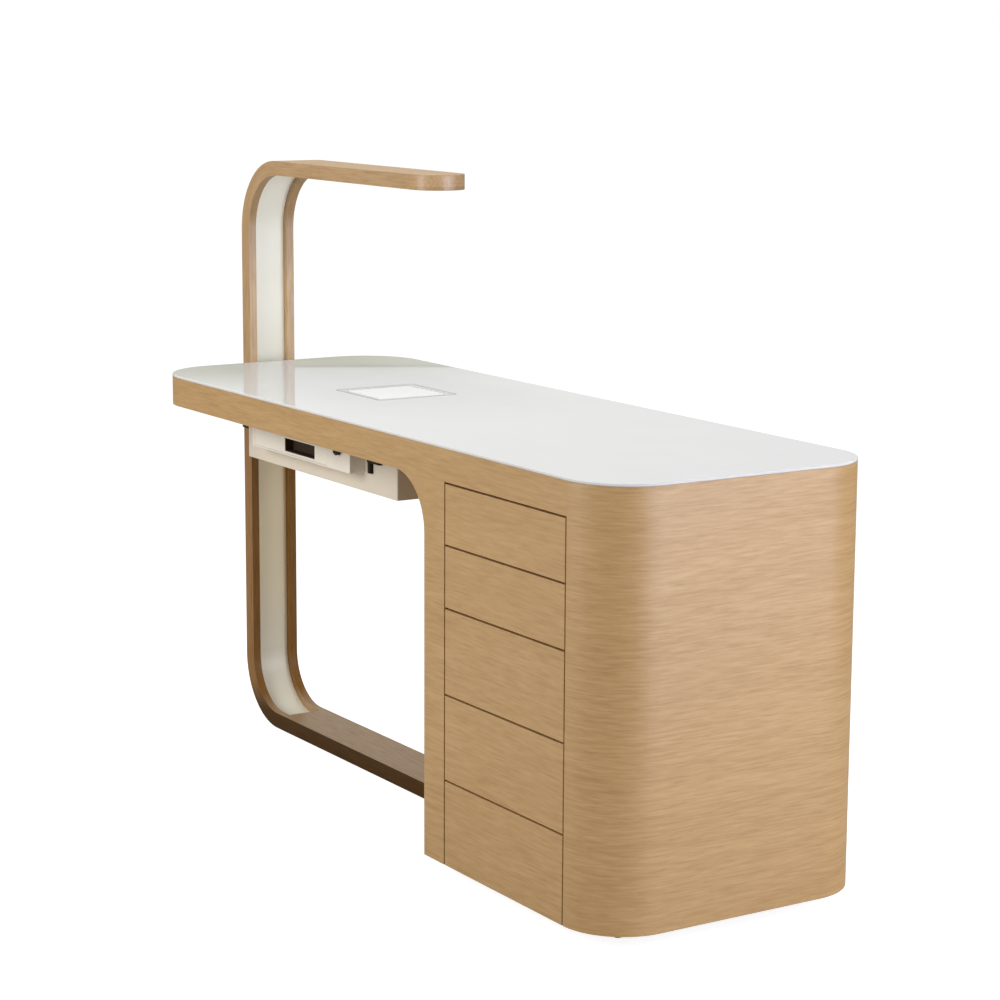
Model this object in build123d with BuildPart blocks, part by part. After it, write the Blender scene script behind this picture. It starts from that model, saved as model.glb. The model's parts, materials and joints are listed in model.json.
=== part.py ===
"""Manicure table: drawer pedestal, glass worktop, wooden C band that carries the lamp, dust collector.

Millimetres, +Z up, +X along the desk towards the drawers, -Y is the side where the drawers open.
The origin is on the floor, under the middle of the whole table.
"""
import os
from math import cos, radians, sin

from build123d import *

os.makedirs("parts", exist_ok=True)

# ---- driving dimensions ----
DESK_LENGTH = 1606.0
DESK_DEPTH = 543.0
DESK_HEIGHT = 750.0
GLASS = 5.0
BOARD = 18.0
SKIN = 18.0
APRON_HEIGHT = 55.0
PEDESTAL_WIDTH = 538.0
PEDESTAL_LIFT = 32.0
APRON_ARC = 97.0
LEFT_CORNER_RADIUS = 123.0

BAND_WIDTH = 102.0
BAND_THICKNESS = 32.0
ARM_THICKNESS = 28.0
ARM_TOP = 1165.0
ARM_REACH = 739.0
UPPER_BEND = 146.0
LOWER_BEND = 134.0
UPPER_INNER_BEND = UPPER_BEND - (BAND_THICKNESS + ARM_THICKNESS) / 2
LOWER_INNER_BEND = LOWER_BEND - BAND_THICKNESS + 1.5
CHANNEL_DEPTH = 16.0
CHANNEL_RIM = 16.0
LINER = 2.0
LINER_SEAM = 159.0
GLIDE = 1.5
FOOT_OVERLAP = 57.0

STILE = 65.0
DRAWER_FIELD = 363.0
SMALL_PITCH = 106.55
LARGE_PITCH = 148.3
FRONT_GAP = 3.6
SIDE_GAP = 3.0
RUNNER_SPACE = 13.0
RUNNER_HEIGHT = 45.0
RUNNER_WALL = 1.5
BOX_DEPTH = 450.0
BOX_WALL = 12.0
BOX_FLOOR = 8.0

INTAKE_X = -254.0
INTAKE_Y = -15.0
INTAKE_SIZE = 168.0
INTAKE_SLOT = 3.0
INTAKE_RIM = 14.0
INTAKE_JOINT = 1.0
DUCT = 150.0
DUCT_WALL = 3.0

COLLECTOR_LEFT = -549.0
COLLECTOR_RIGHT = 30.0
COLLECTOR_FRONT = -178.0
COLLECTOR_BACK = 178.0
COLLECTOR_BOTTOM = 600.0
SHEET = 3.0
BEZEL_LEFT = -471.0
BEZEL_RIGHT = -87.0
BEZEL_PROUD = 31.0
BEZEL_BOTTOM = 634.0
BEZEL_TOP = 692.0

# ---- derived places ----
TABLE_HALF = (DESK_LENGTH + BAND_THICKNESS) / 2
RIGHT = TABLE_HALF
DESK_LEFT = RIGHT - DESK_LENGTH
BAND_OUTER = -TABLE_HALF
FRONT = -DESK_DEPTH / 2
BACK = DESK_DEPTH / 2
WOOD_TOP = DESK_HEIGHT - GLASS
BOARD_UNDER = WOOD_TOP - BOARD
APRON_BOTTOM = WOOD_TOP - APRON_HEIGHT
PEDESTAL_LEFT = RIGHT - PEDESTAL_WIDTH
FIELD_LEFT = PEDESTAL_LEFT + STILE
FIELD_RIGHT = FIELD_LEFT + DRAWER_FIELD
CORNER_RADIUS = RIGHT - FIELD_RIGHT
INNER_FRONT = FRONT + SKIN
INNER_BACK = BACK - SKIN
ARM_UNDER = ARM_TOP - ARM_THICKNESS
POST_TOP = ARM_TOP - UPPER_BEND
POST_BOTTOM = GLIDE + LOWER_BEND
ARM_END = BAND_OUTER + ARM_REACH
CHANNEL_WIDTH = BAND_WIDTH - 2 * CHANNEL_RIM
SEAM_X = BAND_OUTER + LINER_SEAM
FOOT_END = PEDESTAL_LEFT + FOOT_OVERLAP
DRAWER_PITCHES = [SMALL_PITCH, SMALL_PITCH, LARGE_PITCH, LARGE_PITCH, LARGE_PITCH]

CORNER = (Align.MIN, Align.MIN, Align.MIN)


def block(low, high, mode=Mode.ADD):
    """A box between two opposite corners."""
    size = [b - a for a, b in zip(low, high)]
    with Locations(tuple(low)):
        Box(*size, align=CORNER, mode=mode)


def rod(start, direction, radius, length, mode=Mode.ADD):
    """A round bar that starts at a point and runs along a direction."""
    with BuildSketch(Plane(origin=start, z_dir=direction)) as section:
        Circle(radius)
    extrude(section.sketch, amount=length, mode=mode)


def save(piece, name):
    piece.part.label = name
    export_step(piece.part, f"parts/{name}.step")


def desk_outline(inset=0.0, mode=Mode.ADD):
    """The desk's plan, drawn in by inset on every side; the left corners are rounder than the right ones."""
    right_end = RIGHT - CORNER_RADIUS
    left_end = DESK_LEFT + LEFT_CORNER_RADIUS
    far = BACK - inset
    with BuildLine() as outline:
        Line((left_end, far), (right_end, far))
        CenterArc((right_end, BACK - CORNER_RADIUS), CORNER_RADIUS - inset, 0, 90)
        Line((RIGHT - inset, BACK - CORNER_RADIUS), (RIGHT - inset, FRONT + CORNER_RADIUS))
        CenterArc((right_end, FRONT + CORNER_RADIUS), CORNER_RADIUS - inset, 270, 90)
        Line((right_end, -far), (left_end, -far))
        CenterArc((left_end, FRONT + LEFT_CORNER_RADIUS), LEFT_CORNER_RADIUS - inset, 180, 90)
        Line((DESK_LEFT + inset, FRONT + LEFT_CORNER_RADIUS), (DESK_LEFT + inset, BACK - LEFT_CORNER_RADIUS))
        CenterArc((left_end, BACK - LEFT_CORNER_RADIUS), LEFT_CORNER_RADIUS - inset, 90, 90)
    make_face(outline.edges(), mode=mode)


def square_opening(size, radius, mode=Mode.SUBTRACT):
    with Locations((INTAKE_X, INTAKE_Y)):
        RectangleRounded(size, size, radius, mode=mode)


# ---- worktop ----
with BuildPart() as worktop_glass:
    with BuildSketch(Plane.XY.offset(WOOD_TOP)):
        desk_outline()
        square_opening(INTAKE_SIZE + 2 * INTAKE_JOINT, 6)
    extrude(amount=GLASS)
    chamfer(worktop_glass.faces().sort_by(Axis.Z)[-1].outer_wire().edges(), 0.8)
    chamfer(worktop_glass.faces().sort_by(Axis.Z)[0].outer_wire().edges(), 1.2)
save(worktop_glass, "worktop_glass")

with BuildPart() as worktop_board:
    with BuildSketch(Plane.XY.offset(BOARD_UNDER)):
        desk_outline(SKIN)
        square_opening(DUCT + 2 * DUCT_WALL, 4)
    extrude(amount=BOARD)
save(worktop_board, "worktop_board")


# ---- veneered outside: flat front and back, bent left edge, bent right end ----
def flat_side(drawer_field):
    """Apron, quarter arc and pedestal side in the XZ plane; the front one leaves the drawers' field open."""
    straight_left = DESK_LEFT + LEFT_CORNER_RADIUS
    arc_left = PEDESTAL_LEFT - APRON_ARC
    arc_bottom = APRON_BOTTOM - APRON_ARC
    if drawer_field:
        lower = [(FIELD_RIGHT, APRON_BOTTOM), (FIELD_LEFT, APRON_BOTTOM), (FIELD_LEFT, PEDESTAL_LIFT)]
    else:
        lower = [(FIELD_RIGHT, PEDESTAL_LIFT)]
    with BuildLine() as outline:
        Polyline(
            (arc_left, APRON_BOTTOM),
            (straight_left, APRON_BOTTOM),
            (straight_left, WOOD_TOP),
            (FIELD_RIGHT, WOOD_TOP),
            *lower,
            (PEDESTAL_LEFT, PEDESTAL_LIFT),
            (PEDESTAL_LEFT, arc_bottom),
        )
        CenterArc((arc_left, arc_bottom), APRON_ARC, 0, 90)
    make_face(outline.edges())


with BuildPart() as front_frame:
    with BuildSketch(Plane.XZ.offset(-INNER_FRONT)):
        flat_side(True)
    extrude(amount=SKIN)
save(front_frame, "front_frame")

with BuildPart() as back_frame:
    with BuildSketch(Plane.XZ.offset(-BACK)):
        flat_side(False)
    extrude(amount=SKIN)
save(back_frame, "back_frame")


def outline_wall(left, right):
    """The part of the desk outline's wall between two places along the desk."""
    desk_outline()
    desk_outline(SKIN, mode=Mode.SUBTRACT)
    with Locations(((left + right) / 2, 0)):
        Rectangle(right - left, 2 * DESK_DEPTH, mode=Mode.INTERSECT)


with BuildPart() as left_apron:
    with BuildSketch(Plane.XY.offset(APRON_BOTTOM)):
        outline_wall(DESK_LEFT, DESK_LEFT + LEFT_CORNER_RADIUS)
    extrude(amount=APRON_HEIGHT)
save(left_apron, "left_apron")

with BuildPart() as end_shell:
    with BuildSketch(Plane.XY.offset(PEDESTAL_LIFT)):
        outline_wall(FIELD_RIGHT, RIGHT)
    extrude(amount=WOOD_TOP - PEDESTAL_LIFT)
save(end_shell, "end_shell")

# ---- pedestal carcass ----
with BuildPart() as left_side_panel:
    block((PEDESTAL_LEFT, INNER_FRONT, PEDESTAL_LIFT), (PEDESTAL_LEFT + SKIN, INNER_BACK, BOARD_UNDER))
save(left_side_panel, "left_side_panel")

with BuildPart() as pedestal_bottom:
    with BuildSketch(Plane.XY.offset(PEDESTAL_LIFT)):
        desk_outline(SKIN)
        with Locations(((PEDESTAL_LEFT + SKIN + RIGHT) / 2, 0)):
            Rectangle(PEDESTAL_WIDTH - SKIN, DESK_DEPTH, mode=Mode.INTERSECT)
    extrude(amount=SKIN)
save(pedestal_bottom, "pedestal_bottom")

CARCASS_FLOOR = PEDESTAL_LIFT + SKIN
PANEL_BACK = INNER_BACK - SKIN
PANEL_FRONT = INNER_FRONT + 3
with BuildPart() as left_runner_panel:
    block((FIELD_LEFT - SKIN, PANEL_FRONT, CARCASS_FLOOR), (FIELD_LEFT, PANEL_BACK, BOARD_UNDER))
save(left_runner_panel, "left_runner_panel")

with BuildPart() as right_runner_panel:
    block((FIELD_RIGHT, PANEL_FRONT, CARCASS_FLOOR), (FIELD_RIGHT + SKIN, PANEL_BACK, BOARD_UNDER))
save(right_runner_panel, "right_runner_panel")

PLINTH_SETBACK = 90.0
PLINTH_RIGHT = RIGHT - PLINTH_SETBACK
PLINTH_HALF = BACK - PLINTH_SETBACK
with BuildPart() as plinth:
    block((FOOT_END, -PLINTH_HALF, GLIDE), (PLINTH_RIGHT, PLINTH_HALF, PEDESTAL_LIFT))
    block(
        (FOOT_END + SKIN, SKIN - PLINTH_HALF, GLIDE),
        (PLINTH_RIGHT - SKIN, PLINTH_HALF - SKIN, PEDESTAL_LIFT),
        mode=Mode.SUBTRACT,
    )
save(plinth, "plinth")

GLIDE_RADIUS = 8.0
FOOT_GLIDE_Y = 35.0
FOOT_GLIDES = (BAND_OUTER + 170, -200.0, PEDESTAL_LEFT - 20)
PLINTH_GLIDE_Y = PLINTH_HALF - SKIN / 2
PLINTH_GLIDES = (FOOT_END + SKIN / 2, PLINTH_RIGHT - SKIN / 2)
GLIDE_PLACES = [(x, y) for x in FOOT_GLIDES for y in (-FOOT_GLIDE_Y, FOOT_GLIDE_Y)]
GLIDE_PLACES += [(x, y) for x in PLINTH_GLIDES for y in (-PLINTH_GLIDE_Y, PLINTH_GLIDE_Y)]
with BuildPart() as floor_glides:
    with BuildSketch(Plane.XY):
        with Locations(*GLIDE_PLACES):
            Circle(GLIDE_RADIUS)
    extrude(amount=GLIDE)
save(floor_glides, "floor_glides")

# ---- drawers, numbered from the top ----
RUNNER_BACK = INNER_FRONT + BOX_DEPTH - 10


def channel_profile(panel_x, side, middle):
    """A cabinet runner: a C section on the panel face, open towards the drawer."""
    depth = RUNNER_SPACE - 1.0
    outer = sorted((panel_x, panel_x + side * depth))
    inner = sorted((panel_x + side * RUNNER_WALL, panel_x + side * depth))
    low = middle - RUNNER_HEIGHT / 2
    high = middle + RUNNER_HEIGHT / 2
    block((outer[0], PANEL_FRONT, low), (outer[1], RUNNER_BACK, high))
    block(
        (inner[0], PANEL_FRONT, low + RUNNER_WALL),
        (inner[1], RUNNER_BACK, high - RUNNER_WALL),
        mode=Mode.SUBTRACT,
    )


BOX_LIFT = 24.0
BOX_DROP = 14.0
RUNNER_PLAY = 0.5
runner_middles = []
drawer_top = APRON_BOTTOM
for number, pitch in enumerate(DRAWER_PITCHES, start=1):
    last = number == len(DRAWER_PITCHES)
    drawer_bottom = PEDESTAL_LIFT if last else drawer_top - pitch
    front_low = drawer_bottom if last else drawer_bottom + FRONT_GAP / 2
    front_high = drawer_top - (FRONT_GAP if number == 1 else FRONT_GAP / 2)
    box_low = drawer_bottom + BOX_LIFT
    box_high = drawer_top - BOX_DROP
    box_left = FIELD_LEFT + RUNNER_SPACE
    box_right = FIELD_RIGHT - RUNNER_SPACE
    box_back = INNER_FRONT + BOX_DEPTH
    middle = (box_low + box_high) / 2
    runner_middles.append(middle)

    with BuildPart() as drawer_front:
        block((FIELD_LEFT + SIDE_GAP, FRONT, front_low), (FIELD_RIGHT - SIDE_GAP, INNER_FRONT, front_high))
        chamfer(drawer_front.faces().sort_by(Axis.Y)[0].edges(), 0.5)
    save(drawer_front, f"drawer_front_{number}")

    with BuildPart() as drawer_box:
        block((box_left, INNER_FRONT, box_low), (box_right, box_back, box_high))
        block(
            (box_left + BOX_WALL, INNER_FRONT + BOX_WALL, box_low + BOX_FLOOR),
            (box_right - BOX_WALL, box_back - BOX_WALL, box_high),
            mode=Mode.SUBTRACT,
        )
    save(drawer_box, f"drawer_box_{number}")

    half_bar = RUNNER_HEIGHT / 2 - RUNNER_WALL - RUNNER_PLAY
    with BuildPart() as drawer_runners:
        bar_low = middle - half_bar
        bar_high = middle + half_bar
        bar = RUNNER_WALL + RUNNER_PLAY
        block((FIELD_LEFT + bar, INNER_FRONT + 4, bar_low), (box_left, RUNNER_BACK - 10, bar_high))
        block((box_right, INNER_FRONT + 4, bar_low), (FIELD_RIGHT - bar, RUNNER_BACK - 10, bar_high))
    save(drawer_runners, f"drawer_runners_{number}")

    drawer_top = drawer_bottom

with BuildPart() as runner_channels:
    for middle in runner_middles:
        channel_profile(FIELD_LEFT, 1, middle)
        channel_profile(FIELD_RIGHT, -1, middle)
save(runner_channels, "runner_channels")

CATCH_GAP = 0.5
CATCH_SIZE = 24.0
with BuildPart() as drawer_catches:
    for middle in runner_middles:
        catch_front = INNER_FRONT + BOX_DEPTH + CATCH_GAP
        catch_x = (FIELD_LEFT + FIELD_RIGHT) / 2
        block(
            (catch_x - CATCH_SIZE, catch_front, middle - CATCH_SIZE / 2),
            (catch_x + CATCH_SIZE, INNER_BACK, middle + CATCH_SIZE / 2),
        )
save(drawer_catches, "drawer_catches")


# ---- wooden C band: lamp arm, post and foot ----
def band_side(depth, mode=Mode.ADD):
    """The space inside the band in the XZ plane, grown into the band by depth from its inner face."""
    left = DESK_LEFT - depth
    low = PEDESTAL_LIFT - depth
    high = ARM_UNDER + depth
    upper = UPPER_INNER_BEND + depth
    lower = LOWER_INNER_BEND + depth
    c_region(left, low, high, upper, lower, mode)


def c_region(left, low, high, upper, lower, mode=Mode.ADD):
    """A slab with its two left corners rounded."""
    far = RIGHT
    with BuildLine() as outline:
        Polyline((left + upper, high), (far, high), (far, low), (left + lower, low))
        CenterArc((left + lower, low + lower), lower, 180, 90)
        Line((left, low + lower), (left, high - upper))
        CenterArc((left + upper, high - upper), upper, 90, 90)
    make_face(outline.edges(), mode=mode)


with BuildPart() as band_solid:
    with BuildSketch(Plane.XZ.offset(-BAND_WIDTH / 2)):
        c_region(BAND_OUTER, GLIDE, ARM_TOP, UPPER_BEND, LOWER_BEND)
        band_side(0, mode=Mode.SUBTRACT)
    extrude(amount=BAND_WIDTH)


def arm_plan(inset):
    """The arm in plan: straight sides and a half-round end."""
    radius = BAND_WIDTH / 2 - inset
    end_centre = ARM_END - BAND_WIDTH / 2
    with Locations(((BAND_OUTER + end_centre) / 2, 0)):
        Rectangle(end_centre - BAND_OUTER, 2 * radius)
    with Locations((end_centre, 0)):
        Circle(radius)


with BuildPart() as channel_space:
    with BuildSketch(Plane.XZ.offset(-CHANNEL_WIDTH / 2)):
        band_side(CHANNEL_DEPTH)
        band_side(0, mode=Mode.SUBTRACT)
    extrude(amount=CHANNEL_WIDTH)
    block((SEAM_X, -BAND_WIDTH, 0), (RIGHT, BAND_WIDTH, PEDESTAL_LIFT), mode=Mode.SUBTRACT)
    with BuildSketch(Plane.XY):
        arm_plan(CHANNEL_RIM)
    extrude(amount=ARM_TOP, mode=Mode.INTERSECT)

with BuildPart() as arm_shell:
    add(band_solid.part)
    with BuildSketch(Plane.XY.offset(POST_TOP)):
        arm_plan(0)
    extrude(amount=UPPER_BEND, mode=Mode.INTERSECT)
    add(channel_space.part, mode=Mode.SUBTRACT)
save(arm_shell, "arm_shell")

# brackets that hold the desk to the post: a flat cut plate on each side of the post, with a top flange
BRACKET = 4.0
BRACKET_LOW = 613.0
BRACKET_INNER = -640.0
BRACKET_TOE = DESK_LEFT + 8
FLANGE_START = DESK_LEFT + 40
FLANGE = 34.0
FLANGE_SCREW_LINE = 20.0
SCREW_RADIUS = 2.0
SCREW_HEAD = 4.0
SCREW_HEAD_HEIGHT = 2.4
SIDE_SCREWS = [(BAND_OUTER + BAND_THICKNESS / 2, z) for z in (624.0, 650.0, 676.0)]
FLANGE_SCREWS = [-735.0, -665.0]
HOLE_PLAY = 0.1

with BuildPart() as post_shell:
    add(band_solid.part)
    block((BAND_OUTER, -BAND_WIDTH, POST_BOTTOM), (DESK_LEFT, BAND_WIDTH, POST_TOP), mode=Mode.INTERSECT)
    add(channel_space.part, mode=Mode.SUBTRACT)
    for side in (-1, 1):
        for x, z in SIDE_SCREWS:
            face = side * BAND_WIDTH / 2
            rod((x, face, z), (0, -side, 0), SCREW_RADIUS + HOLE_PLAY, CHANNEL_RIM - 1, mode=Mode.SUBTRACT)
save(post_shell, "post_shell")

with BuildPart() as foot_shell:
    add(band_solid.part)
    block((BAND_OUTER, -BAND_WIDTH, 0), (FOOT_END, BAND_WIDTH, POST_BOTTOM), mode=Mode.INTERSECT)
    add(channel_space.part, mode=Mode.SUBTRACT)
save(foot_shell, "foot_shell")

LINER_PLAY = 0.3
LINER_TOP_END = DESK_LEFT + UPPER_INNER_BEND
with BuildPart() as channel_liner:
    with BuildSketch(Plane.XZ.offset(LINER_PLAY - CHANNEL_WIDTH / 2)):
        band_side(CHANNEL_DEPTH)
        band_side(CHANNEL_DEPTH - LINER, mode=Mode.SUBTRACT)
    extrude(amount=CHANNEL_WIDTH - 2 * LINER_PLAY)
    block((SEAM_X - LINER_PLAY, -BAND_WIDTH, 0), (RIGHT, BAND_WIDTH, PEDESTAL_LIFT), mode=Mode.SUBTRACT)
    block((LINER_TOP_END, -BAND_WIDTH, POST_TOP), (RIGHT, BAND_WIDTH, ARM_TOP), mode=Mode.SUBTRACT)
save(channel_liner, "channel_liner")

for side, name in ((-1, "post_bracket_front"), (1, "post_bracket_back")):
    post_face = side * BAND_WIDTH / 2
    plate_plane = Plane.XZ.offset(-max(post_face, post_face + side * BRACKET))
    with BuildPart() as post_bracket:
        with BuildSketch(plate_plane):
            with BuildLine():
                Polyline(
                    (BAND_OUTER + 1, BRACKET_LOW),
                    (BRACKET_TOE, BRACKET_LOW),
                    (BRACKET_TOE, BRACKET_LOW + 30),
                    (BRACKET_INNER, BOARD_UNDER - 30),
                    (BRACKET_INNER, BOARD_UNDER),
                    (FLANGE_START, BOARD_UNDER),
                    (FLANGE_START, APRON_BOTTOM - 2),
                    (BAND_OUTER + 1, APRON_BOTTOM - 2),
                    close=True,
                )
            make_face()
        extrude(amount=BRACKET)
        flange_sides = sorted((post_face, post_face + side * FLANGE))
        block(
            (FLANGE_START, flange_sides[0], BOARD_UNDER - BRACKET),
            (BRACKET_INNER, flange_sides[1], BOARD_UNDER),
        )
        for x, z in SIDE_SCREWS:
            hole_start = (x, post_face - side, z)
            rod(hole_start, (0, side, 0), SCREW_RADIUS + HOLE_PLAY, BRACKET + 2, mode=Mode.SUBTRACT)
        for x in FLANGE_SCREWS:
            hole_start = (x, post_face + side * FLANGE_SCREW_LINE, BOARD_UNDER + 1)
            rod(hole_start, (0, 0, -1), SCREW_RADIUS + HOLE_PLAY, BRACKET + 2, mode=Mode.SUBTRACT)
    save(post_bracket, name)

with BuildPart() as bracket_screws:
    for side in (-1, 1):
        outer_face = side * (BAND_WIDTH / 2 + BRACKET)
        for x, z in SIDE_SCREWS:
            rod((x, outer_face, z), (0, side, 0), SCREW_HEAD, SCREW_HEAD_HEIGHT)
            rod((x, outer_face, z), (0, -side, 0), SCREW_RADIUS, BRACKET + CHANNEL_RIM - 3)
        for x in FLANGE_SCREWS:
            y = side * (BAND_WIDTH / 2 + FLANGE_SCREW_LINE)
            rod((x, y, BOARD_UNDER - BRACKET), (0, 0, -1), SCREW_HEAD, SCREW_HEAD_HEIGHT)
            rod((x, y, BOARD_UNDER - BRACKET), (0, 0, 1), SCREW_RADIUS, BRACKET)
save(bracket_screws, "bracket_screws")

# ---- lamp in the arm's channel ----
DIFFUSER_WALL = 2.0
DIFFUSER_RECESS = 2.0
CHANNEL_ROOF = ARM_UNDER + CHANNEL_DEPTH
LAMP_START = LINER_TOP_END + 0.5
LED_BOARD = 1.6
LED_SIZE = 5.0
LED_PITCH = 24.0
LED_COUNT = 22


def lamp_plan(inset):
    """The channel in plan from the bend's end to the arm's round end."""
    arm_plan(CHANNEL_RIM + inset)
    with Locations(((LAMP_START + inset + RIGHT) / 2, 0)):
        Rectangle(RIGHT - LAMP_START - inset, BAND_WIDTH, mode=Mode.INTERSECT)


with BuildPart() as lamp_diffuser:
    with BuildSketch(Plane.XY.offset(ARM_UNDER + DIFFUSER_RECESS)):
        lamp_plan(LINER_PLAY)
    extrude(amount=CHANNEL_DEPTH - DIFFUSER_RECESS)
    with BuildSketch(Plane.XY.offset(ARM_UNDER + DIFFUSER_RECESS + DIFFUSER_WALL)):
        lamp_plan(LINER_PLAY + DIFFUSER_WALL)
    extrude(amount=CHANNEL_DEPTH, mode=Mode.SUBTRACT)
save(lamp_diffuser, "lamp_diffuser")

LED_FIRST = LAMP_START + 30
with BuildPart() as led_board:
    board_end = LED_FIRST + (LED_COUNT - 1) * LED_PITCH + 15
    block((LED_FIRST - 15, -12, CHANNEL_ROOF - LED_BOARD), (board_end, 12, CHANNEL_ROOF))
save(led_board, "led_board")

with BuildPart() as led_chips:
    with Locations(*[(LED_FIRST + i * LED_PITCH, 0, CHANNEL_ROOF - LED_BOARD) for i in range(LED_COUNT)]):
        Box(LED_SIZE, LED_SIZE, 1, align=(Align.CENTER, Align.CENTER, Align.MAX))
save(led_chips, "led_chips")

# ---- dust intake in the worktop ----
LEDGE = 1.2
COVER_LIFT = 2.5
COVER_SIZE = INTAKE_SIZE - 2 * (INTAKE_RIM + INTAKE_SLOT)
COVER_TOP = DESK_HEIGHT - 0.3
COVER_UNDER = WOOD_TOP + COVER_LIFT
LEDGE_OPENING = COVER_SIZE - 14
LUG = 10.0
with BuildPart() as intake_frame:
    with BuildSketch(Plane.XY.offset(WOOD_TOP)):
        square_opening(INTAKE_SIZE, 5.5, mode=Mode.ADD)
        square_opening(INTAKE_SIZE - 2 * INTAKE_RIM, 3)
    extrude(amount=DESK_HEIGHT - WOOD_TOP)
    with BuildSketch(Plane.XY.offset(WOOD_TOP)):
        square_opening(INTAKE_SIZE, 5.5, mode=Mode.ADD)
        square_opening(LEDGE_OPENING, 3)
    extrude(amount=LEDGE)
    with Locations((INTAKE_X, INTAKE_Y, WOOD_TOP)):
        with GridLocations(COVER_SIZE - LUG, COVER_SIZE - LUG, 2, 2):
            Box(LUG, LUG, COVER_LIFT, align=(Align.CENTER, Align.CENTER, Align.MIN))
save(intake_frame, "intake_frame")

with BuildPart() as intake_cover:
    with BuildSketch(Plane.XY.offset(COVER_UNDER)):
        square_opening(COVER_SIZE, 3, mode=Mode.ADD)
    extrude(amount=COVER_TOP - COVER_UNDER)
    chamfer(intake_cover.faces().sort_by(Axis.Z)[-1].edges(), 0.5)
save(intake_cover, "intake_cover")

TRAY_TOP = 668.0
with BuildPart() as intake_duct:
    with BuildSketch(Plane.XY.offset(TRAY_TOP + 1)):
        square_opening(DUCT + 2 * DUCT_WALL - 0.4, 4, mode=Mode.ADD)
        square_opening(DUCT, 2)
    extrude(amount=WOOD_TOP - TRAY_TOP - 1)
save(intake_duct, "intake_duct")

# ---- dust collector housing under the worktop ----
INSIDE_LOW = COLLECTOR_BOTTOM + SHEET
INSIDE_HIGH = BOARD_UNDER - SHEET
HATCH_LEFT = BEZEL_LEFT + 9
HATCH_RIGHT = HATCH_LEFT + 290
HATCH_LOW = BEZEL_BOTTOM + 3
HATCH_HIGH = TRAY_TOP + 8
BULKHEAD_X = -88.0
VENT_COUNT = 7
VENT_PITCH = 14.0
with BuildPart() as collector_housing:
    block(
        (COLLECTOR_LEFT, COLLECTOR_FRONT, COLLECTOR_BOTTOM),
        (COLLECTOR_RIGHT, COLLECTOR_BACK, INSIDE_HIGH),
    )
    outer_edges = collector_housing.edges().filter_by(Axis.Z)
    fillet(outer_edges, 3)
    block(
        (COLLECTOR_LEFT + SHEET, COLLECTOR_FRONT + SHEET, INSIDE_LOW),
        (COLLECTOR_RIGHT - SHEET, COLLECTOR_BACK - SHEET, INSIDE_HIGH),
        mode=Mode.SUBTRACT,
    )
    block(
        (HATCH_LEFT, COLLECTOR_FRONT, HATCH_LOW),
        (HATCH_RIGHT, COLLECTOR_FRONT + SHEET, HATCH_HIGH),
        mode=Mode.SUBTRACT,
    )
    for i in range(VENT_COUNT):
        vent_x = BULKHEAD_X + 22 + i * VENT_PITCH
        block(
            (vent_x, COLLECTOR_BACK - SHEET, INSIDE_LOW + 20),
            (vent_x + 5, COLLECTOR_BACK, INSIDE_HIGH - 20),
            mode=Mode.SUBTRACT,
        )
save(collector_housing, "collector_housing")

with BuildPart() as collector_top:
    block((COLLECTOR_LEFT, COLLECTOR_FRONT, INSIDE_HIGH), (COLLECTOR_RIGHT, COLLECTOR_BACK, BOARD_UNDER))
    with BuildSketch(Plane.XY.offset(INSIDE_HIGH)):
        square_opening(DUCT + 2 * DUCT_WALL, 4, mode=Mode.ADD)
    extrude(amount=SHEET, mode=Mode.SUBTRACT)
save(collector_top, "collector_top")

# front bezel that stands proud of the housing, with the filter drawer's hatch through it
BEZEL_FRONT = COLLECTOR_FRONT - BEZEL_PROUD
KNOB_X = -127.0
KNOB_Z = 673.0
KNOB_RADIUS = 9.5
KNOB_SHAFT = 3.0
SHAFT_PLAY = 0.05
with BuildPart() as collector_bezel:
    block((BEZEL_LEFT, BEZEL_FRONT, BEZEL_BOTTOM), (BEZEL_RIGHT, COLLECTOR_FRONT, BEZEL_TOP))
    fillet(collector_bezel.edges().filter_by(Axis.Y), 4)
    fillet(collector_bezel.faces().sort_by(Axis.Y)[0].edges(), 1)
    block(
        (HATCH_LEFT, BEZEL_FRONT, HATCH_LOW),
        (HATCH_RIGHT, COLLECTOR_FRONT, HATCH_HIGH),
        mode=Mode.SUBTRACT,
    )
    block(
        (HATCH_RIGHT + SHEET, BEZEL_FRONT + SHEET, BEZEL_BOTTOM + SHEET),
        (BEZEL_RIGHT - SHEET, COLLECTOR_FRONT, BEZEL_TOP - SHEET),
        mode=Mode.SUBTRACT,
    )
    rod(
        (KNOB_X, BEZEL_FRONT - 1, KNOB_Z), (0, 1, 0), KNOB_SHAFT + SHAFT_PLAY, SHEET + 2,
        mode=Mode.SUBTRACT,
    )
save(collector_bezel, "collector_bezel")

# filter drawer: front block with a finger slot, open tray, filter cassette
HATCH_PLAY = 0.5
PULL_WIDTH = 117.0
PULL_LOW = 642.0
PULL_HIGH = 667.0
PULL_LEFT = -337.0
PULL_DEPTH = 18.0
TRAY_DEPTH = 300.0
TRAY_WALL = 3.0
TRAY_LEDGE = 12.0
with BuildPart() as filter_drawer_front:
    block(
        (HATCH_LEFT + HATCH_PLAY, BEZEL_FRONT, HATCH_LOW + HATCH_PLAY),
        (HATCH_RIGHT - HATCH_PLAY, COLLECTOR_FRONT, HATCH_HIGH - HATCH_PLAY),
    )
    fillet(filter_drawer_front.faces().sort_by(Axis.Y)[0].edges(), 0.6)
    block(
        (PULL_LEFT, BEZEL_FRONT, PULL_LOW),
        (PULL_LEFT + PULL_WIDTH, BEZEL_FRONT + PULL_DEPTH, PULL_HIGH),
        mode=Mode.SUBTRACT,
    )
save(filter_drawer_front, "filter_drawer_front")

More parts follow.
